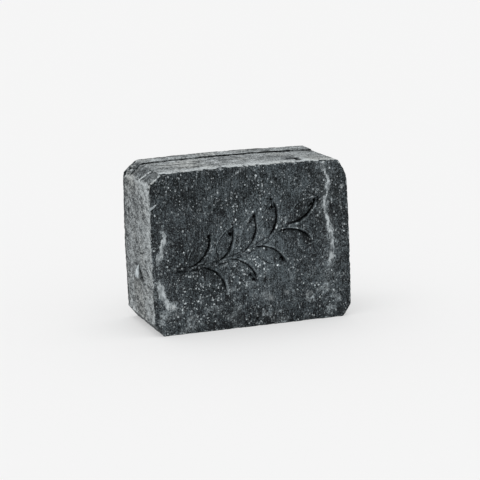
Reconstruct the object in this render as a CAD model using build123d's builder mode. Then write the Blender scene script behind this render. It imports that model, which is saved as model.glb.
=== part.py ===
from build123d import *
import os

os.makedirs("parts", exist_ok=True)

# A hand-cut charcoal bar: two bonded layers, pale mineral inlays in the front face, and a
# leaf sprig pressed into it. Millimetres. The bar stands on its long narrow side: X runs
# along its width, the pressed face looks along -Y, and +Z is up. The origin is the middle
# of the bottom face.

# Overall sizes
left_x = -38.1  # of the left side's corners; the two upright sides bow out past theirs
right_foot_x = 38.4  # the right side leans in a little from its foot to its head
right_head_x = 37.3
height = 59.2  # to the corners; the top bows up past it
depth = 35.0
back_layer_depth = 9.0
side_bow = 0.35
top_bow = 0.6

# Corner cuts, each as its run along X and its run along Z
top_left_cut = (4.3, 3.7)
top_right_cut = (3.2, 5.2)
bottom_right_cut = (3.0, 4.6)
bottom_left_cut = (3.4, 4.3)
corner_softening = 0.6
worn_corner_radius = 9.0  # where the top right cut meets the right side

# Edges
rim_wear = 0.4  # chamfer round the front and back faces
seam_groove = 0.3  # chamfer on each layer where they meet on the top

# Leaf sprig pressed into the front face
sprig_depth = 0.75
stem_start = (-28.0, 24.0)
stem_middle = (-6.0, 27.0)
stem_end = (13.5, 37.0)
stem_width = 1.5
leaf_length = 14.5
leaf_breadth = 5.6
leaf_angle = 52.0  # between a side leaf and the stem
upper_leaf_stations = (0.08, 0.32, 0.56, 0.80)  # along the stem, 0 to 1
lower_leaf_stations = (0.18, 0.42, 0.66, 0.90)

# Mineral inlays in the front face
inlay_depth = 0.4
vein_bend_radius = 9.0
left_upper_vein_width = 1.7
left_upper_vein_path = [(-33.6, 38.3), (-34.3, 33.2), (-35.9, 27.0)]
left_lower_vein_width = 1.5
left_lower_vein_path = [(-36.0, 19.9), (-34.5, 14.2), (-31.3, 9.7)]
right_vein_width = 1.8
right_vein_path = [(27.4, 57.2), (29.8, 51.1), (28.4, 42.2), (31.4, 28.8), (30.4, 18.1)]
patch_radii = (2.2, 1.5)
patch_places = [(-29.7, 7.3), (-24.2, 6.0), (6.8, 10.1), (12.9, 11.5), (21.2, 10.1)]

# Mineral grains, each a half ball set flush in the front face
grain_radius = 0.45
grain_places = [
    (-31.1, 47.7), (-21.2, 52.6), (-12.7, 55.1), (1.2, 53.1), (13.5, 56.6), (23.3, 50.8),
    (-28.2, 13.6), (-24.7, 16.2), (-22.8, 11.8), (-19.3, 14.0), (-15.5, 11.0), (-10.9, 12.7),
    (-4.4, 10.4), (0.8, 12.9), (16.0, 15.5), (23.5, 13.7), (26.8, 8.7), (33.7, 20.9),
    (33.1, 14.7), (25.5, 21.9), (-31.7, 29.4), (34.5, 40.7), (19.1, 46.1), (7.7, 55.9),
]

# Gouge in the left side with the flake that stands beside it, and the chipped front edge
gouge_depth = 1.0
gouge_radii = (4.6, 4.4)
gouge_place = (-0.2, 20.8)  # along Y and Z, as are the next two
flake_radii = (2.0, 2.3)
flake_place = (1.6, 20.6)
flake_thickness = 0.6
edge_flake_size = (2.2, 1.2, 1.0)
edge_flake_height = 47.2

# Scuff on the top face
scuff_place = (19.4, -9.3)
scuff_radii = (2.3, 2.7)
scuff_depth = 0.9  # below the highest point of the bowed top

right_middle_x = (right_foot_x + right_head_x) / 2
front_y = -depth / 2
back_y = depth / 2
seam_y = back_y - back_layer_depth
front_layer_depth = depth - back_layer_depth

front_plane = Plane.XZ.offset(-front_y)
seam_plane = Plane.XZ.offset(-seam_y)
left_plane = Plane.YZ.offset(left_x - side_bow)
top_plane = Plane.XY.offset(height + top_bow)


# Outline of the bar seen from the front: eight corners, with bowed top and sides
foot_left = (left_x + bottom_left_cut[0], 0)
foot_right = (right_foot_x - bottom_right_cut[0], 0)
right_low = (right_foot_x, bottom_right_cut[1])
right_high = (right_head_x, height - top_right_cut[1])
head_right = (right_head_x - top_right_cut[0], height)
head_left = (left_x + top_left_cut[0], height)
left_high = (left_x, height - top_left_cut[1])
left_low = (left_x, bottom_left_cut[1])

with BuildSketch() as bar_outline:
    with BuildLine():
        Polyline(left_low, foot_left, foot_right, right_low)
        ThreePointArc(right_low, (right_middle_x + side_bow, height / 2), right_high)
        Line(right_high, head_right)
        ThreePointArc(head_right, (0, height + top_bow), head_left)
        Line(head_left, left_high)
        ThreePointArc(left_high, (left_x - side_bow, height / 2), left_low)
    make_face()
    corners = bar_outline.vertices()
    worn_corner = corners.sort_by_distance(right_high)[0]
    fillet([corner for corner in corners if corner != worn_corner], corner_softening)
    worn_corner = bar_outline.vertices().sort_by_distance(right_high)[0]
    fillet(worn_corner, worn_corner_radius)


def leaf(base, direction):
    """An almond-shaped leaf: two equal arcs that meet at its base and at its tip."""
    tip = base + direction * leaf_length
    middle = (base + tip) / 2
    bulge = direction.rotate(Axis.Z, 90) * (leaf_breadth / 2)
    with BuildSketch() as outline:
        with BuildLine():
            ThreePointArc(base, middle + bulge, tip)
            ThreePointArc(tip, middle - bulge, base)
        make_face()
    return outline.sketch


# Leaf sprig: a bowed stem, leaves on both sides of it and one at its end
stem = ThreePointArc(stem_start, stem_middle, stem_end)

with BuildSketch() as sprig:
    SlotArc(stem, stem_width)
    add(leaf(stem @ 1, stem % 1))
    for station in upper_leaf_stations:
        add(leaf(stem @ station, (stem % station).rotate(Axis.Z, leaf_angle)))
    for station in lower_leaf_stations:
        add(leaf(stem @ station, (stem % station).rotate(Axis.Z, -leaf_angle)))


# Veins: shallow ribbons with round ends, flush with the front face
left_upper_vein_line = FilletPolyline(*left_upper_vein_path, radius=vein_bend_radius)

with BuildPart() as left_upper_vein:
    with BuildSketch(front_plane):
        SlotArc(left_upper_vein_line, left_upper_vein_width)
    extrude(amount=-inlay_depth)
left_upper_vein.part.label = "left_upper_vein"
export_step(left_upper_vein.part, "parts/left_upper_vein.step")

left_lower_vein_line = FilletPolyline(*left_lower_vein_path, radius=vein_bend_radius)

with BuildPart() as left_lower_vein:
    with BuildSketch(front_plane):
        SlotArc(left_lower_vein_line, left_lower_vein_width)
    extrude(amount=-inlay_depth)
left_lower_vein.part.label = "left_lower_vein"
export_step(left_lower_vein.part, "parts/left_lower_vein.step")

right_vein_line = FilletPolyline(*right_vein_path, radius=vein_bend_radius)

with BuildPart() as right_vein:
    with BuildSketch(front_plane):
        SlotArc(right_vein_line, right_vein_width)
    extrude(amount=-inlay_depth)
right_vein.part.label = "right_vein"
export_step(right_vein.part, "parts/right_vein.step")


# Cloudy patches along the lower part of the front face
with BuildPart() as lower_patches:
    with BuildSketch(front_plane):
        with Locations(*patch_places):
            Ellipse(*patch_radii)
    extrude(amount=-inlay_depth)
lower_patches.part.label = "lower_patches"
export_step(lower_patches.part, "parts/lower_patches.step")


# Grains: half balls whose flat sides are flush with the front face
with BuildPart(front_plane) as pale_grains:
    with Locations(*grain_places):
        Sphere(grain_radius)
    split(bisect_by=front_plane, keep=Keep.BOTTOM)
pale_grains.part.label = "pale_grains"
export_step(pale_grains.part, "parts/pale_grains.step")


# The thick layer before anything is pressed or cut into it
with BuildPart() as front_blank:
    with BuildSketch(front_plane):
        add(bar_outline.sketch)
    extrude(amount=-front_layer_depth)
    chamfer(front_blank.faces().sort_by(Axis.Y)[0].edges(), rim_wear)
    chamfer(front_blank.faces().sort_by(Axis.Y)[-1].edges(), seam_groove)


# Chip of pale mineral that wraps the front left edge
with BuildPart() as edge_flake:
    with Locations((left_x, front_y, edge_flake_height)):
        Box(*edge_flake_size)
    add(front_blank.part, mode=Mode.INTERSECT)
edge_flake.part.label = "edge_flake"
export_step(edge_flake.part, "parts/edge_flake.step")


# Flake that stands on the floor of the gouge in the left side
gouge_floor = left_plane.offset(gouge_depth)

with BuildPart() as side_flake:
    with BuildSketch(gouge_floor):
        with Locations(flake_place):
            Ellipse(*flake_radii)
    extrude(amount=-flake_thickness)
side_flake.part.label = "side_flake"
export_step(side_flake.part, "parts/side_flake.step")


# Thick front layer: the blank with the sprig, the gouge, the scuff and the inlays' seats
with BuildPart() as front_layer:
    add(front_blank.part)
    with BuildSketch(front_plane):
        add(sprig.sketch)
    extrude(amount=-sprig_depth, mode=Mode.SUBTRACT)
    with BuildSketch(left_plane):
        with Locations(gouge_place):
            Ellipse(*gouge_radii)
    extrude(amount=gouge_depth, mode=Mode.SUBTRACT)
    with BuildSketch(top_plane):
        with Locations(scuff_place):
            Ellipse(*scuff_radii)
    extrude(amount=-scuff_depth, mode=Mode.SUBTRACT)
    for inlay in (left_upper_vein, left_lower_vein, right_vein, lower_patches, pale_grains, edge_flake):
        add(inlay.part, mode=Mode.SUBTRACT)
front_layer.part.label = "front_layer"
export_step(front_layer.part, "parts/front_layer.step")


# Thin back layer, bonded to the front layer at the seam
with BuildPart() as back_layer:
    with BuildSketch(seam_plane):
        add(bar_outline.sketch)
    extrude(amount=-back_layer_depth)
    chamfer(back_layer.faces().sort_by(Axis.Y)[0].edges(), seam_groove)
    chamfer(back_layer.faces().sort_by(Axis.Y)[-1].edges(), rim_wear)
back_layer.part.label = "back_layer"
export_step(back_layer.part, "parts/back_layer.step")
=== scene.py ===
import math
from functools import reduce
from types import SimpleNamespace

import bmesh
import bpy
import numpy as np
from numpy.linalg import norm
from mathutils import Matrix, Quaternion, Vector
from mathutils.bvhtree import BVHTree


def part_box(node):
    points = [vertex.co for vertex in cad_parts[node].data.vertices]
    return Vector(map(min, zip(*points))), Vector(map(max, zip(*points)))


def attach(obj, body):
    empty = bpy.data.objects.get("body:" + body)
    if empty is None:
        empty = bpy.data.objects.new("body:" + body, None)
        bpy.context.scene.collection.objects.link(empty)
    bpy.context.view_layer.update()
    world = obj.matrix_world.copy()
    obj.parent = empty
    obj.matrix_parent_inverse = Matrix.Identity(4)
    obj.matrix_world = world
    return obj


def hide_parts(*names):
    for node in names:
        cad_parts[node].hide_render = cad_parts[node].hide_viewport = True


# The charcoal bar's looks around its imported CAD. Shapes are worked out in millimetres in the
# CAD's own frame (X width, pressed face along -Y, Z up), and become metres in new_object().

MM = 0.001

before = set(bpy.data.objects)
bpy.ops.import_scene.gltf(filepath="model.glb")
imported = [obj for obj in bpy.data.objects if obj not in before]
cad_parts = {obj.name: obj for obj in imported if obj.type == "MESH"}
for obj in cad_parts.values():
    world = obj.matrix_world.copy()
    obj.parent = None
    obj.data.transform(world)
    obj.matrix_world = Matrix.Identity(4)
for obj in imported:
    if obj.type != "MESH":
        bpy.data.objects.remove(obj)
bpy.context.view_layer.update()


def box_mm(node):
    """Lowest and highest corner of a CAD node, in millimetres."""
    low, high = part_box(node)
    return np.array(low) / MM, np.array(high) / MM


front_low, front_high = box_mm("front_layer")
face_y = front_low[1]
seam_y = front_high[1]
back_y = box_mm("back_layer")[1][1]
bar_top = front_high[2]
bar_left = front_low[0]
bar_right = front_high[0]
middle_z = (front_low[2] + bar_top) / 2

# Mesh of the two layers
cell = 0.3  # spacing of the mesh on the large faces
rim_radius = 0.28
seam_setback = 0.3  # the CAD layers' chamfer at the seam
row_spacing = 0.62  # across the sides, away from the rim and the seam
sharp_turn = 9.0  # degrees: the outline has a corner where it turns by more

# Leaf sprig pressed into the front face, as in the CAD
stem_start = np.array((-28.0, 24.0))
stem_middle = np.array((-6.0, 27.0))
stem_end = np.array((13.5, 37.0))
stem_width = 1.5
leaf_length = 14.5
leaf_breadth = 5.6
leaf_angle = math.radians(52.0)
upper_leaf_stations = (0.08, 0.32, 0.56, 0.80)
lower_leaf_stations = (0.18, 0.42, 0.66, 0.90)
sprig_depth = 0.75
slit_inset = 0.25  # from a leaf's deep edge to the slit that the press cut
far = 9.0  # further from a leaf than any of its marks

# Pale veins in the front face: points in X and Z, as in the CAD, with a finer line
left_upper_line = [(-33.5, 38.9), (-33.7, 36.4), (-34.4, 32.8), (-35.5, 29.4), (-36.1, 26.7)]
left_lower_line = [(-36.2, 19.9), (-35.2, 17.2), (-34.4, 13.9), (-32.5, 11.0), (-31.2, 9.5)]
right_line = [
    (26.8, 58.4), (28.5, 56.4), (29.9, 52.1), (29.6, 47.1), (28.3, 43.7), (28.7, 40.6),
    (29.8, 37.6), (30.3, 34.2), (31.3, 28.9), (30.5, 23.5), (30.3, 18.0),
]
side_thread = [(35.3, 49.5), (34.7, 47.7), (35.0, 45.9), (34.3, 44.0), (34.7, 40.2)]
right_tail = [(30.5, 19.0), (29.9, 17.0), (28.9, 14.4), (28.8, 12.1), (28.1, 9.5)]
edge_strokes = [[(-1.7, 59.9), (-3.3, 58.7), (-5.3, 57.3)], [(-15.6, 59.9), (-18.4, 58.0)]]
patch_places = [(-29.7, 7.3), (-24.2, 6.0), (6.8, 10.1), (12.9, 11.5), (21.2, 10.1)]
patch_radius = 1.5
inlay_depth = 0.45  # of a vein's or a patch's mesh, below the worn surface

# Damage: the slit and its scoop in the left side (Y, Z) and the scuff on the top (X, Y)
slit_place = np.array((-2.2, 20.6))
slit_run = np.array((0.734, 0.679))
scoop_place = np.array((1.3, 20.7))
flake_place = np.array((1.6, 20.6))
scuff_place = np.array((19.4, -9.3))
scuff_radii = np.array((2.3, 2.7))


# ---- noise and small maths


def lattice(corner, seed):
    """A repeatable value from 0 to 1 for each whole-number point."""
    mixed = corner[:, 0] * 374761393 + corner[:, 1] * 668265263 + corner[:, 2] * 1442695041
    mixed = (mixed + seed * 1274126177) & 0xFFFFFFFF
    mixed = ((mixed ^ (mixed >> 13)) * 1103515245) & 0xFFFFFFFF
    mixed = ((mixed ^ (mixed >> 16)) * 1274126177) & 0xFFFFFFFF
    return ((mixed >> 8) & 0xFFFF) / 65535.0


def noise(points, size, seed, stretch=(1.0, 1.0, 1.0)):
    """Smooth noise from -1 to 1, with bumps about `size` millimetres across."""
    scaled = points / (size * np.array(stretch)) + seed * 7.31
    corner = np.floor(scaled).astype(np.int64)
    part = scaled - corner
    part = part * part * part * (part * (part * 6 - 15) + 10)
    total = np.zeros(len(points))
    for step in np.ndindex(2, 2, 2):
        weight = np.where(step, part, 1 - part).prod(1)
        total += weight * lattice(corner + np.array(step), seed)
    return total * 2 - 1


# A rotation between octaves, so that their lattices don't line up
TURN = np.array([[0.36, 0.48, -0.8], [-0.8, 0.6, 0.0], [0.48, 0.64, 0.6]])


def rough(points, size, octaves, seed, stretch=(1.0, 1.0, 1.0)):
    """Noise summed over octaves, each half the size and half the height of the last."""
    total = np.zeros(len(points))
    height = 1.0
    for octave in range(octaves):
        total += height * noise(points, size, seed + octave, stretch)
        size, height = size / 2, height / 2
        if stretch == (1.0, 1.0, 1.0):
            points = points @ TURN.T
    return total


def ramp(low, high, value):
    """0 at low and 1 at high, with a smooth climb between them."""
    t = np.clip((value - low) / (high - low), 0, 1)
    return t * t * (3 - 2 * t)


def bump(distance, width):
    """1 at distance 0, falling smoothly to about 0 at twice the width, on both sides."""
    return np.exp(-((distance / width) ** 2))


def evenly(line, count):
    """The line again, as count + 1 evenly spaced points."""
    walked = np.concatenate([[0], np.cumsum(norm(np.diff(line, axis=0), axis=1))])
    wanted = np.linspace(0, walked[-1], count + 1)
    return np.stack([np.interp(wanted, walked, line[:, k]) for k in range(line.shape[1])], 1)


def rounded_line(points, step):
    """A smooth line along the given points, evenly spaced."""
    line = np.array(points, float)
    for _ in range(3):  # each pass cuts the corners at a quarter of every stretch
        first, second = line[:-1], line[1:]
        cut = np.stack([first * 0.75 + second * 0.25, first * 0.25 + second * 0.75], 1)
        line = np.vstack([line[:1], cut.reshape(-1, 2), line[-1:]])
    length = norm(np.diff(line, axis=0), axis=1).sum()
    return evenly(line, int(length / step))


def pointing(angle):
    """The X, Z direction at an angle from +X."""
    return np.array((math.cos(angle), math.sin(angle)))


def distance_to_line(flat, line):
    """Distance from each X, Z point to a line, and how far along it (0 to 1) that is."""
    best = np.full(len(flat), np.inf)
    along = np.zeros(len(flat))
    for index, (a, b) in enumerate(zip(line[:-1], line[1:])):
        run = b - a
        t = np.clip(((flat - a) @ run) / (run @ run), 0, 1)
        away = norm(flat - a - t[:, None] * run, axis=1)
        nearer = away < best
        best[nearer] = away[nearer]
        along[nearer] = (index + t[nearer]) / (len(line) - 1)
    return best, along


def with_y(flat, y):
    """X, Y, Z points from X, Z points and their Y."""
    return np.stack([flat[:, 0], np.broadcast_to(y, len(flat)), flat[:, 1]], 1)


# ---- making objects


def placed(name, data):
    """A new object in the scene."""
    made = bpy.data.objects.new(name, data)
    bpy.context.scene.collection.objects.link(made)
    return made


def new_object(name, points, faces, attributes=None):
    """A mesh object from points in millimetres. Attributes are one value for each point."""
    mesh = bpy.data.meshes.new(name)
    mesh.from_pydata((np.asarray(points) * MM).tolist(), [], faces)
    mesh.update()
    mesh.shade_smooth()
    for label, values in (attributes or {}).items():
        layer = mesh.attributes.new(label, "FLOAT", "POINT")
        layer.data.foreach_set("value", np.asarray(values, np.float32))
    return placed(name, mesh)


def grid_quads(grid):
    """Faces between the neighbours in a grid of point numbers."""
    quads = np.stack([grid[:-1, :-1], grid[1:, :-1], grid[1:, 1:], grid[:-1, 1:]], -1)
    return quads.reshape(-1, 4)


def install(piece, node, material):
    """Puts a piece in the place of a CAD node."""
    piece.data.materials.append(material)
    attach(piece, "root")
    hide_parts(node)


# ---- outline of the bar


def cad_outline():
    """The CAD outline in X and Z, counterclockwise seen from the front, and its angles."""
    points = np.array([v.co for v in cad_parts["back_layer"].data.vertices]) / MM
    beside_seam = np.abs(points[:, 1] - seam_y - seam_setback) < 0.02
    ring = points[beside_seam][:, [0, 2]]
    angle = np.arctan2(ring[:, 1] - middle_z, ring[:, 0])
    angle, kept = np.unique(np.round(angle, 5), return_index=True)
    return angle, ring[kept]


def outline_sides():
    """The outline as four sides that meet in the middle of the corner cuts."""
    outline_angle, outline = cad_outline()
    columns = int((bar_right - bar_left) / cell)
    rows = int(bar_top / cell)
    corner = math.atan2(bar_top - middle_z, bar_right)
    start = int(np.argmin(np.abs(outline_angle + math.pi - corner)))
    loop = np.vstack([outline[start:], outline[: start + 1]])
    loop_angle = np.unwrap(np.concatenate([outline_angle[start:], outline_angle[: start + 1]]))
    turns = [corner - math.pi, -corner, corner, math.pi - corner, corner + math.pi]
    turns = [t + (loop_angle[0] - turns[0]) for t in turns]
    sides = []
    for first, last, count in zip(turns[:-1], turns[1:], (columns, rows, columns, rows)):
        inside = (loop_angle > first) & (loop_angle < last)
        ends = [[np.interp(t, loop_angle, loop[:, k]) for k in (0, 1)] for t in (first, last)]
        sides.append(evenly(np.vstack([ends[0], loop[inside], ends[1]]), count))
    return sides


def outward(ring):
    """Outward normals of a closed counterclockwise ring in X and Z."""
    run = np.roll(ring, -1, 0) - np.roll(ring, 1, 0)
    run /= norm(run, axis=1)[:, None]
    return np.stack([run[:, 1], -run[:, 0]], 1)


# ---- the pressed sprig


def sprig_layout():
    """Base and heading of every leaf, and the stem's line, along an arc through three points."""
    chords = np.array((stem_middle - stem_start, stem_end - stem_start))
    squares = [p @ p - stem_start @ stem_start for p in (stem_middle, stem_end)]
    centre = np.linalg.solve(2 * chords, squares)
    radius = norm(stem_start - centre)
    first, last = (math.atan2(*(p - centre)[::-1]) for p in (stem_start, stem_end))

    def on_stem(station):
        angle = first + (last - first) * station
        return centre + radius * pointing(angle), angle + math.pi / 2

    leaves = [on_stem(1.0)]
    for stations, side in ((upper_leaf_stations, 1), (lower_leaf_stations, -1)):
        for station in stations:
            base, heading = on_stem(station)
            leaves.append((base, heading + side * leaf_angle))
    return leaves, np.array([on_stem(t)[0] for t in np.linspace(0, 1, 25)])


leaves, stem = sprig_layout()
upper_leaves = leaves[: 1 + len(upper_leaf_stations)]  # with the one at the end of the stem


def leaf_field(flat, base, heading):
    """For one leaf: distance outside its edge, how far along it, and across (-1 to 1)."""
    half = leaf_breadth / 2
    radius = (leaf_length**2 / 4 + half**2) / (2 * half)
    along = pointing(heading)
    side = np.array((-along[1], along[0]))
    a = (flat - base) @ along
    b = (flat - base) @ side
    reach = [np.hypot(a - leaf_length / 2, b + s * (radius - half)) - radius for s in (1, -1)]
    deep_side = -1 if side[0] < 0 else 1
    return np.maximum(reach[0], reach[1]), a, b, np.clip(deep_side * b / half, -1, 1)


def raggedness(points):
    """How far the sprig's edges stray from their true curves."""
    return 0.10 * rough(points, 1.2, 2, 31) + 0.22 * noise(points, 6.0, 37)


def slit_distance(points):
    """Signed distance to the nearest slit along a leaf's deep edge, and the slit's strength."""
    flat = points[:, [0, 2]]
    ragged = raggedness(points) + slit_inset
    best = np.full(len(points), far)
    strength = np.zeros(len(points))
    for base, heading in leaves:
        outside, _, _, across = leaf_field(flat, base, heading)
        outside = outside + ragged
        nearer = (np.abs(outside) < np.abs(best)) & (across > -0.2)
        best[nearer] = outside[nearer]
        strength[nearer] = ramp(-0.1, 0.45, across[nearer])
    return best, strength


def snap_to_slits(points, movable):
    """Slides face points that are nearly on a slit onto it, so that it is sharp and unbroken."""
    best, _ = slit_distance(points)
    step = 0.02
    slope = np.zeros((len(points), 3))
    for axis in (0, 2):
        shifted = points.copy()
        shifted[:, axis] += step
        slope[:, axis] = (slit_distance(shifted)[0] - best) / step
    size = norm(slope, axis=1)
    near = movable & (np.abs(best) < 0.6 * cell) & (size > 0.7) & (size < 1.5)
    points[near] -= (best[near] / size[near] ** 2)[:, None] * slope[near]
    return points


def sprig_relief(points):
    """Depth of the pressed sprig, and where its slits, the lips beside them and its floor are. Slits
    are painted black as shadow; lips and a line along each shallow edge are painted pale as
    highlight.
    """
    flat = points[:, [0, 2]]
    ragged = raggedness(points)
    depth = np.zeros(len(points))
    nearest_leaf = np.full(len(points), far)
    for number, (base, heading) in enumerate(leaves):
        outside, a, b, across = leaf_field(flat, base, heading)
        nearest_leaf = np.minimum(nearest_leaf, outside)
        floor = sprig_depth * (0.60 + 0.40 * across)
        floor = floor * (0.88 + 0.12 * noise(points, 3.0, 41 + number))
        rib = 0.16 * bump(b, 0.35) * ramp(0.5, 2.5, a) * ramp(0, 3, leaf_length - a)
        depth = np.maximum(depth, (floor - rib) * ramp(0.0, -0.42, outside + ragged))
    away, _ = distance_to_line(flat, stem)
    outside = away - stem_width / 2 + ragged * 0.6
    depth = np.maximum(depth, 0.8 * sprig_depth * ramp(0.05, -0.4, outside))
    best, strength = slit_distance(points)
    whole = 0.25 + 0.75 * ramp(-0.85, -0.35, noise(points, 4.0, 97))
    reach = 0.42 + 0.20 * noise(points, 3.2, 98) + 0.12 * noise(points, 0.8, 99)
    # The slit along each leaf's deep edge and beside the stem is cut, and its black is painted
    # shadow
    slit = ramp(reach, 0.3 * reach, np.abs(best)) * strength * whole
    stem_slit = bump(away - stem_width / 2 - 0.1, 0.2) * ramp(-0.3, 0.3, noise(points, 3.0, 100))
    slit = np.maximum(slit, 0.9 * stem_slit * (1 - ramp(0.0, -0.5, nearest_leaf)))
    shallow = 1 - strength * ramp(2.2, 1.4, np.abs(best))
    # A faint dark line along each leaf's shallow edge: painted shadow
    faint = bump(nearest_leaf + ragged, 0.2) * ramp(-0.3, 0.3, noise(points, 4.5, 96))
    slit = np.maximum(slit, 0.7 * faint * shallow)
    # Pale lips beside the slits and a pale line along each leaf's shallow edge: painted highlight
    lip = bump(best - 0.6, 0.3) * strength * whole
    ridge = bump(nearest_leaf + ragged - 0.4, 0.22) * ramp(-0.4, 0.3, noise(points, 3.5, 95))
    lip = np.maximum(lip, 1.2 * ridge * shallow)
    return depth + 0.9 * slit, slit, lip, np.clip(depth / (0.5 * sprig_depth), 0, 1)


def near_tips(points):
    """How near a point is to the tip of an upper leaf, where crumbs gather."""
    near = np.zeros(len(points))
    for base, heading in upper_leaves:
        tip = base + leaf_length * pointing(heading)
        near = np.maximum(near, bump(norm(points[:, [0, 2]] - tip, axis=1), 1.9))
    return near


def torn_tips(points):
    """Small pits torn out round the tips of the upper leaves and of two lower ones, later painted
    black as shade.
    """
    random = np.random.default_rng(31)
    pits = 10  # at each tip
    centres = []
    for base, heading in upper_leaves + leaves[6:8]:
        for _ in range(pits):
            along = leaf_length + random.uniform(-4.0, 0.8)
            across = random.uniform(-1.0, 1.0)
            spot = base + along * pointing(heading) + across * pointing(heading + math.pi / 2)
            centres.append((spot[0], face_y, spot[1]))
    size = 0.2 + 0.35 * random.random(len(centres)) ** 2
    warped = points + 0.45 * np.stack([noise(points, 0.7, 131 + k) for k in range(3)], 1)
    return hollows(warped, np.array(centres), size, 1.5 * size)


# ---- the worn surface


def hollows(points, centres, radii, depths):
    """Round hollows at the given centres."""
    total = np.zeros(len(points))
    for centre, radius, depth in zip(centres, radii, depths):
        near = np.abs(points - centre).max(1) < 2 * radius
        away = norm(points[near] - centre, axis=1)
        total[near] = np.maximum(total[near], depth * bump(away, radius))
    return total


def facing(normals):
    """How much each point belongs to each kind of face."""
    x, y, z = normals.T
    return SimpleNamespace(
        front=ramp(0.6, 0.95, -y),
        back=ramp(0.6, 0.95, y),
        top=ramp(0.90, 0.985, z),
        bottom=ramp(0.90, 0.985, -z),
        left=ramp(0.90, 0.985, -x),
        right=ramp(0.90, 0.985, x),
        cut=ramp(0.25, 0.45, np.abs(x)) * ramp(0.25, 0.45, np.abs(z)),
        top_left_cut=ramp(0.25, 0.45, -x) * ramp(0.25, 0.45, z),
    )


def scrape_lines(points):
    """Scrapes across the top left cut: one strong line that leans, and faint ones."""
    down = bar_top - points[:, 2]
    lean = points[:, 1] - (face_y + 10.0 + 0.9 * down)
    broken = ramp(-0.8, 0.0, noise(points, 0.9, 101))
    strong = bump(lean, 0.55) * broken * ramp(0.5, 1.2, down)
    faint = ramp(0.30, 0.75, noise(points, 1.1, 103, (9.0, 1.0, 9.0)))
    return strong, faint


def pores_in_faces(points):
    """Small round pores scattered over the front and back faces."""
    random = np.random.default_rng(7)
    count = 300
    centres = np.stack([
        random.uniform(bar_left + 1, bar_right - 1, count),
        np.where(random.random(count) < 0.62, face_y, back_y),
        random.uniform(1, bar_top - 1, count),
    ], 1)
    return hollows(points, centres, random.uniform(0.2, 0.5, count), random.uniform(0.1, 0.3, count))


def chipped_corner(points):
    """Chips out of the back end of the top left cut."""
    centres = np.array((bar_left, 0.0, bar_top)) + [
        (0.3, 15.9, -4.4), (2.0, 14.6, -2.4), (4.6, 16.0, -0.5),
        (0.6, 11.8, -3.9), (3.1, 12.2, -1.3), (1.7, 10.4, -2.6),
    ]
    radii = np.array((1.25, 1.0, 0.9, 0.7, 0.6, 0.6))
    drawn_out = (1.0, 0.6, 1.0)
    warped = points + 0.6 * np.stack([noise(points, 1.0, 121 + k) for k in range(3)], 1)
    return hollows(warped * drawn_out, centres * drawn_out, radii, 0.6 * radii)


def blotches(points, spots):
    """A sum of round blotches, each with its X, Z, width and height."""
    x, z = points[:, 0], points[:, 2]
    return sum(height * bump(np.hypot(x - cx, z - cz), width) for cx, cz, width, height in spots)


def grit_share(points):
    """Share of grains at each point: dense low on the left and in the middle."""
    return 0.30 + 0.25 * noise(points, 8.0, 107) + blotches(points, (
        (-20, 12, 9, 0.6), (-3, 21, 7, 0.8), (24, 13, 9, 0.35), (0, 44, 14, 0.2),
    ))


def top_tone(points):
    """How bright the ash on the top is: brightest along the front, darker at the right end."""
    forward = ramp(-9.0, -16.0, points[:, 1])
    behind = ramp(seam_y, seam_y + 2.0, points[:, 1])
    right_end = ramp(24.0, 30.0, points[:, 0]) * (1 - behind)
    return 0.36 + 0.48 * forward + 0.06 * behind - 0.12 * right_end


def front_tone(points):
    """How light the bare charcoal of the front face is: dark high on the left and at the foot."""
    tone = 0.225 + 0.14 * rough(points, 7.0, 3, 141) + blotches(points, (
        (-24, 50, 14, -0.14), (2, 28, 14, 0.50), (30, 40, 13, -0.28), (-28, 33, 8, -0.06),
        (-2, 1, 11, -0.16),
    ))
    dark_edge = ramp(4.0, 1.0, points[:, 0] - bar_left)
    return tone - 0.16 * dark_edge - 0.18 * ramp(5.0, 1.5, points[:, 2])


def front_haze(points):
    """Extra bloom in the front face: a soft halo round each vein and cloudy lower parts."""
    warp = np.stack([rough(points, 2.6, 2, 71), rough(points, 2.6, 2, 73)], 1)
    flat = points[:, [0, 2]] + 0.75 * warp
    feather = 0.6 + 0.4 * noise(points, 0.9, 79, (1.0, 1.0, 2.5))
    haze = np.zeros(len(points))
    for line, width, strength in (
        (left_upper_line, 1.1, 0.8),
        (left_lower_line, 1.6, 0.9),
        (right_line, 1.9, 0.8),
        (side_thread, 0.45, 1.3),
        (edge_strokes[0], 0.4, 0.9),
        (edge_strokes[1], 0.35, 0.7),
        (right_tail, 0.8, 0.6),
    ):
        away, along = distance_to_line(flat, np.array(line))
        swell = 0.7 + 0.5 * np.sin(along * 17.0 + 1.0) ** 2
        haze = np.maximum(haze, strength * feather * swell * bump(away, width))
        haze = np.maximum(haze, 0.25 * bump(away, width * 2.8))
    for x, z in patch_places:
        away = np.hypot(flat[:, 0] - x, (flat[:, 1] - z) * 1.2)
        haze = np.maximum(haze, 0.5 * feather * bump(away, patch_radius))
    low = ramp(24.0, 6.0, points[:, 2])
    cloud = ramp(0.05, 0.9, rough(points, 3.6, 3, 83))
    return haze + (0.06 + 0.46 * low) * cloud


def broken_edges(points, edge_distance):
    """Bites and nibbles where two faces meet, and the torn rim of the ash along the top."""
    fragile = 0.45 + 0.55 * ramp(face_y + 2.0, face_y + 1.0, points[:, 1])
    fragile *= 1 - 0.5 * ramp(20.0, 30.0, points[:, 0])
    bites = fragile * ramp(0.15, 0.8, rough(points, 2.3, 2, 19)) * bump(edge_distance, 0.6)
    nibbles = fragile * ramp(-0.1, 0.7, noise(points, 0.85, 23)) * bump(edge_distance, 0.36)
    behind = np.abs(points[:, 1] - face_y) + 2.8 * rough(points * (1, 0.35, 1), 1.0, 2, 68)
    return bites, nibbles, ramp(1.1, 0.6, behind)


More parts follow.
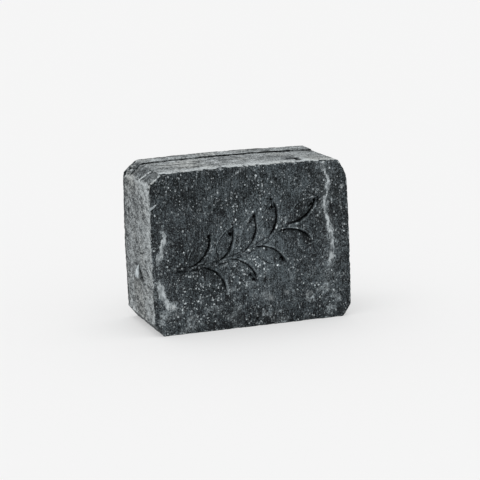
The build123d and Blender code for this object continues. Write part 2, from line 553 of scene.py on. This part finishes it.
def gouge(points):
    """The gouge in the left side: a slit, and a shallow scoop behind it that holds the flake."""
    place = points[:, 1:] - slit_place
    across = place @ np.array((slit_run[1], -slit_run[0]))
    slot = ramp(1.5, 0.9, np.abs(across) + 0.4 * noise(points, 0.9, 44))
    slot *= ramp(4.3, 3.3, np.abs(place @ slit_run))
    scoop = bump(points[:, 1] - scoop_place[0], 2.3) * bump(points[:, 2] - scoop_place[1], 2.8)
    return slot, scoop * (0.75 + 0.25 * noise(points, 1.2, 43))


def scuffed(points):
    """The scuff on the top: a shallow dent and its broken dark rim."""
    reach = norm((points[:, :2] - scuff_place) / scuff_radii, axis=1)
    reach += 0.35 * noise(points, 1.4, 47)
    rim = bump(reach - 1.0, 0.3) * ramp(-0.8, -0.3, noise(points, 1.3, 48))
    return ramp(1.15, 0.85, reach), rim


def wear_marks(points, side, edge_distance, y_seam, back_layer):
    """Every kind of wear at each point, for the relief and for the looks."""
    wear = SimpleNamespace(seam_distance=np.abs(points[:, 1] - y_seam))
    leaned = points - points[:, 1:2] * np.array((0.2, 0.0, 0.0))
    scratches = noise(leaned, 0.8, 91, (1.0, 16.0, 1.0))  # across the top, from back to front
    wear.hatch = ramp(8.0, -8.0, points[:, 0]) * scratches
    wear.scrape, wear.faint_scrapes = scrape_lines(points)
    wear.bites, wear.nibbles, wear.torn_rim = broken_edges(points, edge_distance)
    wear.chips = chipped_corner(points)
    wear.depth, wear.slit, wear.lip, wear.pressed = sprig_relief(points)
    wear.torn = torn_tips(points)
    wear.slot, wear.scoop = gouge(points)
    wear.dent, wear.scuff = scuffed(points)
    wear.pores = pores_in_faces(points)

    # The seam is open along the top and closed to a hairline elsewhere
    opening = ramp(-1.1, 0.1, rough(points * (1, 0, 0), 5.0, 3, 53)) * side.top
    wear.opening = np.maximum(opening, 0.4 * side.top_left_cut)
    wear.gap = (0.25 if back_layer else 0.72) + 0.5 * rough(points, 2.0, 3, 59)

    # Ash: clouds and wisps of it, crumbs along the front's edges, and where it clings to a chip or a
    # burr. Pale lines along the edges near the left end and along the front edge of the top left cut
    # are painted highlights
    wear.haze = rough(points, 9.0, 3, 61)
    wear.wisps = front_haze(points) * side.front
    # A pale line along the edges, used near the left end: painted highlight
    wear.rim = bump(edge_distance, 0.45) * ramp(-0.7, 0.2, noise(points, 1.5, 67))
    wear.left_rim = wear.rim * ramp(5.0, 0.5, points[:, 0] - bar_left)
    wear.crumbs = ramp(0.15, 0.6, noise(points, 0.9, 69)) * bump(edge_distance - 0.25, 0.4)
    # Painted highlight along the front edge of the top left cut
    ragged = ramp(-0.5, 0.1, noise(points, 0.8, 72))
    wear.cut_rim = bump(points[:, 1] - face_y - 0.4, 0.5) * ragged
    burr = bump(np.hypot(points[:, 1] - face_y - 13.1, points[:, 2] - bar_top + 4.6), 0.9)
    chip_rim = ramp(0.03, 0.1, wear.chips) * ramp(0.25, 0.15, wear.chips)
    wear.burr = burr * side.left + chip_rim
    return wear


def relief(points, side, wear, back_layer):
    """How far each point moves outwards, in millimetres."""
    # Hand-cut faces: slow waves, a fine grain, and drag lines from the cutting wire
    out = 0.07 * rough(points, 14.0, 2, 3) + 0.024 * rough(points, 1.5, 2, 5)
    drag = rough(points, 0.7, 2, 11, (1.0, 1.0, 22.0))
    out += 0.028 * drag * (side.front + side.back)
    planed = rough(points, 0.9, 2, 13, (18.0, 1.0, 1.0))
    out += (0.035 * planed + 0.03 * wear.hatch) * side.top
    crumb = rough(points, 1.3, 3, 15)
    out += (0.04 * side.left + 0.02 * side.right) * crumb
    out += (0.10 * wear.scrape + 0.07 * wear.faint_scrapes) * side.top_left_cut
    out += 0.05 * noise(points, 0.9, 17, (9.0, 1.0, 9.0)) * side.cut

    # What is broken, pressed, gouged or scuffed away
    out -= 0.7 * wear.bites + 0.42 * wear.nibbles
    out -= wear.chips
    out -= 0.25 * wear.torn_rim * side.top
    out -= (wear.depth + wear.torn - 0.05 * wear.lip) * side.front
    out -= (1.3 * wear.slot + 0.4 * wear.scoop) * side.left
    out -= (0.3 * wear.dent + 0.3 * wear.scuff) * side.top

    # The seam; the back layer stands proud of the front one on the top
    out += 0.42 * side.top if back_layer else 0
    trench = ramp(wear.gap + 0.14, wear.gap - 0.12, wear.seam_distance)
    out -= trench * (0.05 + 1.15 * wear.opening)

    # The bottom stays flat, so that the bar stands on it
    out = np.where(side.bottom > 0.01, np.minimum(out, 0) * (1 - 0.6 * side.bottom), out)
    return out - wear.pores


def bloom_cover(side, wear):
    """How much of the surface the pale ash covers."""
    haze = wear.haze
    bloom = (
        side.front * (0.05 + 0.04 * haze)
        + side.back * (0.16 + 0.10 * haze)
        + side.top * 0.97
        + side.left * (0.86 + 0.05 * haze)
        + side.right * (0.80 + 0.06 * haze)
        + side.bottom * (0.45 + 0.1 * haze)
        + side.cut * (0.62 + 0.08 * haze)
    )
    # Painted highlight: the sprig's pale lips
    bloom += wear.wisps + (0.22 * wear.lip + 0.9 * wear.crumbs) * side.front
    # Painted highlight along the edges near the left end
    bloom += 0.75 * wear.left_rim + 0.5 * wear.burr - 1.1 * wear.torn_rim * side.top
    scrapes = 1.0 * wear.scrape + 0.35 * wear.faint_scrapes
    # Painted highlight along the front edge of the top left cut
    return bloom + (scrapes + 1.1 * wear.cut_rim) * side.top_left_cut


def surface_tone(points, side, wear):
    """How bright the ash is, and the bare charcoal of the front face."""
    forward = ramp(seam_y - 4, face_y, points[:, 1])
    tone = (
        side.top * top_tone(points)
        + side.left * (0.31 + 0.24 * forward)
        + side.right * 0.36
        + side.bottom * 0.3
        + side.back * 0.3
        # The sprig's pale lips on the front: painted highlight
        + side.front * (front_tone(points) - 0.17 * wear.pressed + 0.45 * wear.lip)
        + side.cut * (0.11 + 0.05 * wear.haze)
    )
    # Painted highlight along the edges near the left end
    tone += 0.45 * wear.left_rim + 0.4 * wear.wisps + 0.5 * wear.burr
    tone += 0.5 * wear.crumbs * side.front
    scrapes = 0.95 * wear.scrape + 0.25 * wear.faint_scrapes
    # Painted highlight along the front edge of the top left cut
    tone += (scrapes + 0.75 * wear.cut_rim) * side.top_left_cut
    speckle = rough(points, 1.8, 3, 63, (1.0, 1.3, 0.8))
    tone += (0.12 * wear.haze + 0.18 * speckle) * side.left
    bands = rough(points, 4.0, 3, 65, (2.5, 1.0, 1.0))
    # Painted highlight: a pale line on the top just beside the seam's gap
    ledge = bump(wear.seam_distance - wear.gap - 0.7, 0.5)
    ledge *= ramp(-0.3, 0.4, noise(points, 3.0, 66))
    tone += (0.15 * bands + 0.14 * wear.hatch + 0.22 * ledge) * side.top
    # Painted shade: darker within about 2 mm of the back edge, on all faces but the back
    return tone - 0.35 * bump(points[:, 1] - back_y, 2.0) * (1 - side.back)


def soot_cover(points, side, wear):
    """Black for painted shade in cracks, hollows, pores, torn pits, the sprig's slits, the seam's
    gap, the gouge's slit and along the back edges, and for bare charcoal in fresh bites, chips,
    flecks, the scuff's rim and the torn rim of the ash.
    """
    from_back = points[:, 1] - back_y
    flecks = ramp(0.5, 0.9, rough(points, 1.1, 2, 64, (1.0, 1.8, 1.0)))
    # Painted shade: a broken dark band along the back edge of the top
    back_rim = bump(from_back, 1.3) * ramp(-0.7, 0.1, noise(points, 2.2, 70))
    # Less black under the painted edge highlight
    bitten = np.maximum(wear.bites, wear.nibbles * 0.8) * (1 - wear.rim * 0.7)
    return np.max([
        # Painted shade: the sprig's slits and the torn pits at the leaf tips are black
        np.maximum(wear.slit, np.clip(wear.torn * 3.5, 0, 1)) * side.front,
        # Painted shade in the seam's open gap
        ramp(wear.gap + 0.35, wear.gap, wear.seam_distance) * wear.opening,
        # Painted shade in the gouge's slit
        wear.slot * side.left,
        wear.scuff * side.top,
        0.85 * wear.torn_rim * side.top,
        0.5 * flecks * side.left,
        # Painted shade along the back edge of the top
        0.65 * back_rim * side.top,
        # Painted shade in the pores
        np.clip(wear.pores * 3.0, 0, 0.9),
        0.85 * bitten,
        0.8 * ramp(0.2, 0.5, wear.chips),
        # Painted shade along the back edge of the left side
        0.5 * bump(from_back, 1.1) * side.left,
    ], axis=0)


def grit_cover(points, side, wear):
    """Where pale mineral grains gather in the front face."""
    crumbled = ramp(-0.3, 0.4, noise(points, 1.5, 137))
    beside = 0.6 * wear.lip * crumbled - 0.3 * wear.pressed + 0.5 * near_tips(points)
    return grit_share(points) * (1 - 0.7 * side.back) + side.front * beside


def shape_surface(points, normals, edge_distance, y_face, y_seam):
    """Moves a layer's points to the worn surface. Returns them and their surface attributes."""
    side = facing(normals)
    back_layer = y_face > y_seam
    wear = wear_marks(points, side, edge_distance, y_seam, back_layer)
    moved = points + normals * relief(points, side, wear, back_layer)[:, None]
    moved[:, 2] = np.maximum(moved[:, 2], 0.0)
    return moved, {
        "bloom": np.clip(bloom_cover(side, wear), 0, 1.2),
        "tone": np.clip(surface_tone(points, side, wear), 0, 1.2),
        "soot": np.clip(soot_cover(points, side, wear), 0, 1),
        "grit": np.clip(grit_cover(points, side, wear), 0, 1),
    }


# ---- mesh of a layer


def nearest(flat, corners):
    """Distance from each X, Z point to the nearest of the corners."""
    return reduce(np.minimum, (norm(flat - corner, axis=1) for corner in corners))


def distance_to_edges(points, normals, y_face, ring, out):
    """Distance from each point to the nearest edge between two of the bar's planed faces."""
    turn = np.degrees(np.arccos(np.clip((out * np.roll(out, 3, 0)).sum(1), -1, 1)))
    corners = ring[np.roll(turn > sharp_turn, -1)]
    flat = points[:, [0, 2]]
    distance = np.minimum(nearest(flat, corners), np.abs(points[:, 1] - y_face))
    on_face = np.abs(normals[:, 1]) > 0.999
    distance[on_face] = nearest(flat[on_face], ring[::2])
    return distance


def four_sides(loop, columns, rows):
    """Bottom, right, top and left of a closed loop, each from its left or its lower end."""
    closed = np.concatenate([loop, loop[:1]])
    ends = np.cumsum([0, columns, rows, columns, rows])
    bottom, right, top, left = (closed[a : b + 1] for a, b in zip(ends[:-1], ends[1:]))
    return bottom, right, top[::-1], left[::-1]


def face_grid(inner, columns, rows):
    """The region inside a ring: each grid line is blended between opposite sides."""
    bottom, right, top, left = four_sides(inner, columns, rows)
    u = np.linspace(0, 1, columns + 1)[:, None, None]
    v = np.linspace(0, 1, rows + 1)[None, :, None]
    grid = (1 - v) * bottom[:, None] + v * top[:, None] + (1 - u) * left[None] + u * right[None]
    grid -= (1 - u) * (1 - v) * bottom[0] + u * (1 - v) * bottom[-1]
    grid -= (1 - u) * v * top[0] + u * v * top[-1]
    return grid


def make_layer(name, y_face, y_seam):
    """One layer of the bar as a closed mesh: its visible face, its rim, its sides, its seam."""
    sides = outline_sides()
    columns, rows = len(sides[0]) - 1, len(sides[1]) - 1
    ring = np.vstack([side[:-1] for side in sides])
    out = outward(ring)
    around = len(ring)
    inwards = 1 if y_seam > y_face else -1

    # Rim: a quarter round from the face to the sides, then rows that are finer near its ends
    quarter = np.radians([0, 45, 90])
    depth = abs(y_seam - y_face)
    near_face = [0.18, 0.40, 0.66, 0.98, 1.40]
    near_seam = [2.3, 1.85, 1.5, 1.2, 0.95, 0.75, 0.55, 0.4, 0.27, 0.14, 0.0]
    middle = depth - near_seam[0] - rim_radius - near_face[-1]
    steps = int(middle / row_spacing)
    depths = list(rim_radius * (1 - np.cos(quarter)))
    depths += [rim_radius + near for near in near_face]
    depths += list(depths[-1] + middle * np.arange(1, steps) / steps)
    depths += [depth - near for near in near_seam]
    upright = [0.0] * (len(depths) - len(quarter))
    insets = list(rim_radius * (1 - np.sin(quarter))) + upright
    leans = list(np.cos(quarter)) + upright

    grid = face_grid(ring - out * insets[0], columns, rows)[1:-1, 1:-1].reshape(-1, 2)
    points, normals = [], []
    for inset, row_depth, lean in zip(insets, depths, leans):
        tilt = math.sqrt(max(0.0, 1 - lean * lean))
        points.append(with_y(ring - out * inset, y_face + inwards * row_depth))
        normals.append(with_y(out * tilt, -inwards * lean))
    points = np.vstack(points + [with_y(grid, y_face)])
    normals = np.vstack(normals + [with_y(0 * grid, -inwards)])

    # Point numbers of the face's grid, whose border is the first ring
    number = np.zeros((columns + 1, rows + 1), int)
    inner = np.arange(len(grid)) + around * len(depths)
    number[1:-1, 1:-1] = inner.reshape(columns - 1, rows - 1)
    border = np.arange(around)
    number[:, 0], number[-1], number[:, -1], number[0] = four_sides(border, columns, rows)

    faces = grid_quads(number).tolist()
    after = np.roll(border, -1)
    for row in range(len(depths) - 1):
        here, there = row * around, (row + 1) * around
        faces += np.stack([here + border, there + border, there + after, here + after], 1).tolist()
    faces.append((there + border[::-1]).tolist())
    if inwards < 0:
        faces = [face[::-1] for face in faces]

    edge_distance = distance_to_edges(points, normals, y_face, ring, out)
    if inwards > 0:
        points = snap_to_slits(points, np.arange(len(points)) >= inner[0])
    points, attributes = shape_surface(points, normals, edge_distance, y_face, y_seam)
    return new_object(name, points, faces, attributes)


# ---- materials


def feed(node, inputs):
    """Gives each input of a node a value, or the output that feeds it."""
    for key, value in inputs.items():
        if isinstance(value, bpy.types.NodeSocket):
            node.id_data.links.new(value, node.inputs[key])
        else:
            node.inputs[key].default_value = value


def make(tree, kind, inputs=None, **settings):
    """Adds a shader node and feeds its inputs."""
    made = tree.nodes.new("ShaderNode" + kind)
    for key, value in settings.items():
        setattr(made, key, value)
    feed(made, inputs or {})
    return made


def maths(tree, operation, first, second=0.5, third=0.0):
    inputs = {0: first, 1: second, 2: third}
    return make(tree, "Math", inputs, operation=operation).outputs[0]


def mix(tree, factor, first, second):
    inputs = {0: factor, 6: first, 7: second}
    return make(tree, "Mix", inputs, data_type="RGBA").outputs[2]


def sway(tree, pattern, weight, base):
    """The base, raised and lowered by a pattern whose middle is 0.5."""
    return maths(tree, "MULTIPLY_ADD", maths(tree, "SUBTRACT", pattern, 0.5), weight, base)


def spread(tree, value, low, high):
    """Maps low to 0 and high to 1, smoothly, and clamps."""
    inputs = {0: value, 1: low, 2: high, 3: 0.0, 4: 1.0}
    return make(tree, "MapRange", inputs, interpolation_type="SMOOTHSTEP").outputs[0]


def shade(value, tint=(1.0, 1.0, 1.0)):
    """A grey with a slight tint."""
    return (value * tint[0], value * tint[1], value * tint[2], 1.0)


BLUE = (0.82, 1.0, 1.10)
COOL = (0.89, 1.0, 1.05)
MILK = (0.92, 1.0, 1.03)
NEUTRAL = (0.93, 1.0, 1.02)
WARM = (0.955, 1.0, 0.985)


def material(name):
    """A new material, its node tree and its shader."""
    made = bpy.data.materials.new(name)
    made.use_nodes = True
    tree = made.node_tree
    return made, tree, tree.nodes["Principled BSDF"]


def mottle(tree, place, size, detail=2.0, stretch=(1.0, 1.0, 1.0)):
    """Cloudy noise whose blotches are about `size` millimetres across."""
    mapped = make(tree, "Mapping", {"Vector": place, "Scale": stretch}).outputs[0]
    inputs = {"Vector": mapped, "Scale": 1 / (size * MM), "Detail": detail, "Roughness": 0.6}
    return make(tree, "TexNoise", inputs).outputs["Fac"]


def specks(tree, place, size, radius, share, stretch=(1.0, 1.0, 1.0)):
    """Specks in a share of the cells, `size` apart. Radius is in cells; brightness varies."""
    bend = make(tree, "TexNoise", {"Vector": place, "Scale": 2.6 / (size * MM)})
    centred = {0: bend.outputs["Color"], 1: (0.5, 0.5, 0.5)}
    centred = make(tree, "VectorMath", centred, operation="SUBTRACT").outputs[0]
    bent = {0: centred, 1: (0.9 * size * MM,) * 3, 2: place}
    bent = make(tree, "VectorMath", bent, operation="MULTIPLY_ADD").outputs[0]
    mapped = make(tree, "Mapping", {"Vector": bent, "Scale": stretch}).outputs[0]
    cells = make(tree, "TexVoronoi", {"Vector": mapped, "Scale": 1 / (size * MM)})
    random = make(tree, "SeparateColor", {"Color": cells.outputs["Color"]}).outputs
    present = maths(tree, "LESS_THAN", random[0], share)
    reach = maths(tree, "MULTIPLY_ADD", random[1], radius * 0.7, radius * 0.5)
    inside = spread(tree, maths(tree, "SUBTRACT", reach, cells.outputs["Distance"]), -0.03, 0.08)
    bright = maths(tree, "MULTIPLY_ADD", maths(tree, "POWER", random[2], 1.5), 0.8, 0.2)
    return maths(tree, "MULTIPLY", maths(tree, "MULTIPLY", inside, present), bright)


def bare_charcoal(tree, place, tone, grit, clean):
    """Blue-black charcoal with pale threads and specks. Returns its colour, grain and specks."""
    # A fine grain, slow patches, and streaks drawn out by the cutting wire
    grain = mottle(tree, place, 0.30, 2.0, (1.0, 1.0, 0.65))
    slow = mottle(tree, place, 2.4, 3.0, (1.0, 1.0, 0.6))
    drag = mottle(tree, place, 0.5, 2.0, (1.0, 1.0, 0.1))
    body = sway(tree, drag, 1.5, sway(tree, slow, 1.4, sway(tree, grain, 3.9, tone)))
    colour = mix(tree, spread(tree, body, -0.2, 1.2), shade(0.008, BLUE), shade(0.135, BLUE))

    # Thin pale threads, in places
    fold = mottle(tree, place, 6.0, 3.0)
    thread = spread(tree, maths(tree, "ABSOLUTE", maths(tree, "SUBTRACT", fold, 0.5)), 0.008, 0.0)
    thread = maths(tree, "MULTIPLY", thread, spread(tree, slow, 0.50, 0.66))
    colour = mix(tree, maths(tree, "MULTIPLY", thread, 0.4), colour, shade(0.25, COOL))

    # Pale mineral specks: fine ones everywhere, and larger grains where the grit gathers
    gathered = mottle(tree, place, 4.5, 3.0)
    share = maths(tree, "MULTIPLY_ADD", gathered, 2.2, -0.68)
    fine = specks(tree, place, 0.8, 0.36, share, (1.0, 1.0, 0.75))
    fine = maths(tree, "MULTIPLY", fine, maths(tree, "MULTIPLY_ADD", grit, 0.6, 0.4))
    large = specks(tree, place, 1.3, 0.33, maths(tree, "MULTIPLY_ADD", gathered, 2.4, -0.7))
    large = maths(tree, "MULTIPLY", large, spread(tree, grit, 0.25, 0.85))
    # No pale specks where the surface is painted black as shade or is bare
    pale = maths(tree, "MULTIPLY", maths(tree, "MAXIMUM", fine, large), clean)
    return mix(tree, pale, colour, shade(1.0, MILK)), grain, pale


def ash_powder(tree, place, tone, bloom):
    """Grey powder, uneven, that lets black grains show. Returns its colour and its grain."""
    powder = mottle(tree, place, 0.36, 2.0, (0.6, 0.5, 0.65))
    drift = mottle(tree, place, 2.2, 3.0, (0.6, 0.8, 1.5))
    light = sway(tree, drift, 1.5, sway(tree, powder, 2.6, tone))
    tinge = spread(tree, mottle(tree, place, 14.0, 2.0), 0.45, 0.65)
    pale = mix(tree, tinge, shade(0.62, NEUTRAL), shade(0.60, WARM))
    pale = mix(tree, spread(tree, bloom, 0.55, 0.8), shade(0.60, COOL), pale)
    return mix(tree, spread(tree, light, -0.15, 1.15), shade(0.05, COOL), pale), powder


def charcoal_material():
    """Charcoal under ash, with shade painted black in cracks and hollows. Its mesh's attributes say
    how much of each there is at each point.
    """
    made, tree, shader = material("charcoal")
    place = make(tree, "TexCoord").outputs["Object"]
    bloom, tone, soot, grit = (
        make(tree, "Attribute", attribute_name=label).outputs["Fac"]
        for label in ("bloom", "tone", "soot", "grit")
    )
    clean = maths(tree, "SUBTRACT", 1.0, soot)
    bare, grain, pale = bare_charcoal(tree, place, tone, grit, clean)
    ash, powder = ash_powder(tree, place, tone, bloom)
    cover = spread(tree, sway(tree, grain, 1.3, bloom), 0.02, 0.98)
    cover = maths(tree, "MULTIPLY", cover, clean)

    # Painted shade: cracks, hollows, pits, slits and the seam's gap are painted black and don't
    # shine; so are fresh breaks, where the charcoal is bare
    colour = mix(tree, soot, mix(tree, cover, bare, ash), shade(0.002))
    shine = maths(tree, "MULTIPLY", maths(tree, "MULTIPLY", clean, clean), 0.12)
    height = maths(tree, "MULTIPLY_ADD", maths(tree, "MULTIPLY", powder, cover), 2.2, grain)
    height = maths(tree, "MULTIPLY_ADD", pale, 0.5, height)
    bumps = make(tree, "Bump", {"Height": height, "Strength": 0.7, "Distance": 0.15 * MM})
    feed(shader, {
        "Base Color": colour, "Roughness": 0.7, "Specular IOR Level": shine,
        "Normal": bumps.outputs[0],
    })
    return made


def mineral_material(name, dark, bright, wisp, solid):
    """Pale mineral, milky and uneven. Where `fade` is high, charcoal covers all but wisps."""
    made, tree, shader = material(name)
    place = make(tree, "TexCoord").outputs["Object"]
    fade = make(tree, "Attribute", attribute_name="fade").outputs["Fac"]
    cloud = mottle(tree, place, 1.6, 3.0, (1.0, 1.0, 0.6))
    fine = mottle(tree, place, 0.4, 2.0)
    drawn = mottle(tree, place, 0.6, 2.0, (1.0, 1.0, 0.25))
    milk = mix(tree, spread(tree, cloud, 0.35, 0.65), shade(dark, COOL), shade(bright, MILK))
    dust = sway(tree, fine, wisp, fade)
    dust = sway(tree, drawn, wisp, dust)
    dust = spread(tree, dust, solid - 0.5, solid + 0.5)
    colour = mix(tree, dust, milk, shade(0.045, BLUE))
    bumps = make(tree, "Bump", {"Height": fine, "Strength": 0.4, "Distance": 0.1 * MM})
    feed(shader, {
        "Base Color": colour, "Roughness": 0.65, "Specular IOR Level": 0.15,
        "Normal": bumps.outputs[0],
    })
    return made


# ---- the two layers

charcoal = charcoal_material()
front = make_layer("charcoal_front_layer", face_y, seam_y)
install(front, "front_layer", charcoal)
back = make_layer("charcoal_back_layer", back_y, seam_y)
install(back, "back_layer", charcoal)


# ---- inlays in the front face

bpy.context.view_layer.update()
front_tree = BVHTree.FromObject(front, bpy.context.evaluated_depsgraph_get())


def surface_at(flat):
    """Y of the worn front face at each X, Z point, smoothed over a millimetre."""
    around = 0.5
    found = []
    for x, z in flat:
        samples = []
        for dx, dz in ((0, 0), (around, 0), (-around, 0), (0, around), (0, -around)):
            start = Vector((x + dx, face_y - 5, z + dz)) * MM  # well in front of the face
            hit = front_tree.ray_cast(start, Vector((0, 1, 0)))[0]
            if hit is not None and hit.y / MM < face_y + 2:
                samples.append(hit.y / MM)
        found.append(np.mean(samples) if samples else face_y)
    return np.array(found)


def sheet_faces(long, wide):
    """Faces of a closed slab from a top grid and a bottom grid of long x wide points."""
    top = np.arange(long * wide).reshape(long, wide)
    quads = grid_quads(top)
    faces = quads.tolist() + (quads + long * wide)[:, ::-1].tolist()
    rim = np.concatenate([top[0, :-1], top[:-1, -1], top[-1, :0:-1], top[:0:-1, 0]])
    under = rim + long * wide
    rim_next, under_next = np.roll(rim, -1), np.roll(under, -1)
    faces += np.stack([rim, rim_next, under_next, under], 1).tolist()
    return faces


def slab(flat, across, lift, seed):
    """A thin closed piece that lies in the face: flat is long x wide x 2, across is -1 to 1."""
    long, wide = flat.shape[:2]
    flat = flat.reshape(-1, 2)
    level = surface_at(flat)
    bumps = 0.04 * rough(with_y(flat, level), 0.8, 2, seed)
    height = lift * (1 - 1.7 * np.abs(across.ravel()) ** 2) + bumps
    points = np.vstack([with_y(flat, level - height), with_y(flat, level + inlay_depth)])
    fade = np.tile(np.abs(across.ravel()), 2)
    return points, sheet_faces(long, wide), fade


def vein(name, node, line, half_width, worn, seed):
    """A pale streak along a line. The more it is worn, the more charcoal covers it."""
    path = rounded_line(line, 0.25)
    count, wide, taper = len(path), 13, 12  # points along, across, and in each thin end
    run = np.gradient(path, axis=0)
    run /= norm(run, axis=1)[:, None]
    side = np.stack([-run[:, 1], run[:, 0]], 1)
    spots = with_y(path, 0.0)
    ends = np.clip(np.minimum(np.arange(count), np.arange(count)[::-1]) / taper, 0.06, 1)
    width = half_width * (0.85 + 0.7 * rough(spots, 3.4, 2, seed)) * np.sqrt(ends)
    width = np.maximum(width, 0.15)
    path = path + side * (0.4 * noise(spots, 1.8, seed + 5))[:, None]
    across = np.linspace(-1, 1, wide)
    spread_out = np.repeat(spots, wide, 0) + np.tile(across, count)[:, None]
    ragged = 1 + 0.3 * noise(spread_out, 0.7, seed + 9)
    offset = (width[:, None] * across[None]) * ragged.reshape(count, wide)
    flat = path[:, None] + side[:, None] * offset[..., None]
    points, faces, fade = slab(flat, np.tile(across, (count, 1)), 0.10, seed)
    fade = np.maximum(fade, np.tile(np.repeat(1.1 - ends, wide), 2)) + worn
    piece = new_object(name, points, faces, {"fade": fade})
    install(piece, node, pale_mineral)


def lower_patches():
    """Cloudy patches low in the front face: discs with ragged rims, joined in one object."""
    steps = np.linspace(-1, 1, 19)
    u, v = np.meshgrid(steps, steps, indexing="ij")
    disc = np.stack([u * np.sqrt(1 - v**2 / 2), v * np.sqrt(1 - u**2 / 2)], -1)
    reach = norm(disc, axis=-1)
    heading = (disc / np.maximum(reach, 0.01)[..., None]).reshape(-1, 2)
    circle = with_y(heading, 0.0)
    all_points, all_faces, all_fade = [], [], []
    for number, place in enumerate(patch_places):
        radius = patch_radius * (1 + 0.45 * rough(circle * 1.5 + number * 9, 1.2, 2, 201))
        flat = disc * (1.25, 1.0) * radius.reshape(reach.shape)[..., None] + place
        points, faces, fade = slab(flat, reach, 0.05, 211 + number)
        all_faces += [[corner + number * len(points) for corner in face] for face in faces]
        all_points.append(points)
        all_fade.append(fade)
    fade = np.concatenate(all_fade)
    piece = new_object("cloudy_patches", np.vstack(all_points), all_faces, {"fade": fade})
    install(piece, "lower_patches", cloudy_mineral)


def pebble(subdivisions):
    """Points and faces of a round stone of radius 1."""
    mesh = bmesh.new()
    bmesh.ops.create_icosphere(mesh, subdivisions=subdivisions, radius=1.0)
    points = np.array([v.co for v in mesh.verts])
    faces = [[v.index for v in face.verts] for face in mesh.faces]
    mesh.free()
    return points, faces


def lump(base, centre, radii, turn, seed, jag=0.35):
    """The stone, made irregular, stretched, turned about Y and put in place."""
    points = base * (1 + jag * noise(base + seed * 3.7, 0.9, seed))[:, None] * np.array(radii)
    c, s = math.cos(turn), math.sin(turn)
    points = points @ np.array([[c, 0, s], [0, 1, 0], [-s, 0, c]])
    return points + np.array(centre)


def pale_grains():
    """Bright mineral grains, half sunk in the front face, densest where the grit gathers."""
    random = np.random.default_rng(23)
    count = 4000  # places tried, of which few are kept
    tries = np.stack([
        random.uniform(bar_left + 2, bar_right - 2, count), np.zeros(count),
        random.uniform(1.5, bar_top - 1.5, count),
    ], 1)
    chance = np.clip(grit_share(tries) - 0.2, 0.05, 1) ** 2
    kept = tries[random.random(count) < chance * 0.3]
    base, base_faces = pebble(1)
    level = surface_at(kept[:, [0, 2]])
    points, faces = [], []
    for number, (x, _, z) in enumerate(kept):
        size = 0.15 + 0.25 * random.random() ** 3
        radii = size * random.uniform(0.75, 1.3, 3)
        centre = (x, level[number] - 0.02, z)
        faces += [[corner + len(base) * number for corner in face] for face in base_faces]
        points.append(lump(base, centre, radii, random.uniform(0, 3), 300 + number))
    fade = np.repeat(random.uniform(0, 1.1, len(kept)), len(base))
    piece = new_object("mineral_grains", np.vstack(points), faces, {"fade": fade})
    install(piece, "pale_grains", grain_mineral)


def flakes():
    """The shard on the floor of the gouge, and the flake on the front left edge."""
    base, faces = pebble(4)
    x = bar_left + 0.2
    narrowed = base[:, 1] * (0.9 - 0.55 * base[:, 2]) - 0.45 * base[:, 2]
    shard = np.stack([base[:, 0], narrowed, base[:, 2]], 1)
    points = lump(shard, (x, flake_place[0], flake_place[1]), (0.62, 2.3, 2.4), 0.0, 401, 0.3)
    piece = new_object("gouge_flake", points, faces, {"fade": 0.25 + 0.3 * np.abs(base[:, 2])})
    install(piece, "side_flake", flake_mineral)
    centre = (bar_left + 1.1, face_y + 0.12, 47.5)
    points = lump(base, centre, (1.5, 0.32, 0.42), 0.55, 403, 0.45)
    piece = new_object("rim_flake", points, faces, {"fade": 0.5 + 0.4 * np.abs(base[:, 0])})
    install(piece, "edge_flake", flake_mineral)


pale_mineral = mineral_material("pale_mineral", 0.20, 0.60, 3.2, 0.70)
cloudy_mineral = mineral_material("cloudy_mineral", 0.09, 0.30, 2.2, 0.50)
grain_mineral = mineral_material("grain_mineral", 0.40, 0.80, 1.0, 1.3)
flake_mineral = mineral_material("flake_mineral", 0.35, 0.70, 1.6, 1.1)

vein("left_upper_streak", "left_upper_vein", left_upper_line, 1.6, -0.1, 153)
vein("left_lower_streak", "left_lower_vein", left_lower_line, 2.0, -0.3, 165)
vein("right_streak", "right_vein", right_line, 1.5, 0.25, 171)
lower_patches()
pale_grains()
flakes()


# ---- floor, light and camera


def make_stage():
    """A wide pale floor that the bar stands on."""
    corners = 64
    radius = 3.0 / MM
    just_below = -0.01
    angles = [2 * math.pi * k / corners for k in range(corners)]
    ring = [(radius * math.cos(a), radius * math.sin(a), just_below) for a in angles]
    floor = new_object("floor", ring, [list(range(corners))])
    paper, _, shader = material("floor_paper")
    feed(shader, {
        "Base Color": shade(0.5), "Roughness": 0.9, "Specular IOR Level": 0.0,
        "Emission Color": shade(1.0), "Emission Strength": 0.39,
    })
    floor.data.materials.append(paper)


def make_lights():
    """An even white surround, and one broad soft key light from above."""
    world = bpy.data.worlds.new("studio")
    world.use_nodes = True
    feed(world.node_tree.nodes["Background"], {"Color": shade(1.0), "Strength": 0.74})
    bpy.context.scene.world = world
    data = bpy.data.lights.new("key", "SUN")
    data.energy = 1.0
    data.angle = math.radians(70.0)
    lamp = placed("key", data)
    lamp.rotation_mode = "QUATERNION"
    lamp.rotation_quaternion = Vector((-0.15, -0.10, 1.0)).to_track_quat("Z", "Y")


def make_camera():
    """From the left and a little above, through a long lens."""
    azimuth, elevation, roll = map(math.radians, (-19.0, 11.8, -1.66))
    target = Vector((1.25, 0.0, 28.99)) * MM
    distance = 0.6714
    away = Vector((
        math.sin(azimuth) * math.cos(elevation),
        -math.cos(azimuth) * math.cos(elevation),
        math.sin(elevation),
    ))
    data = bpy.data.cameras.new("camera")
    data.sensor_width = 36.0
    data.lens = 135.0
    data.clip_start, data.clip_end = 0.05, 20.0
    camera = placed("camera", data)
    camera.location = target + away * distance
    camera.rotation_mode = "QUATERNION"
    camera.rotation_quaternion = (-away).to_track_quat("-Z", "Y") @ Quaternion((0, 0, 1), roll)
    bpy.context.scene.camera = camera


make_stage()
make_lights()
make_camera()
bpy.context.scene.view_settings.view_transform = "Standard"
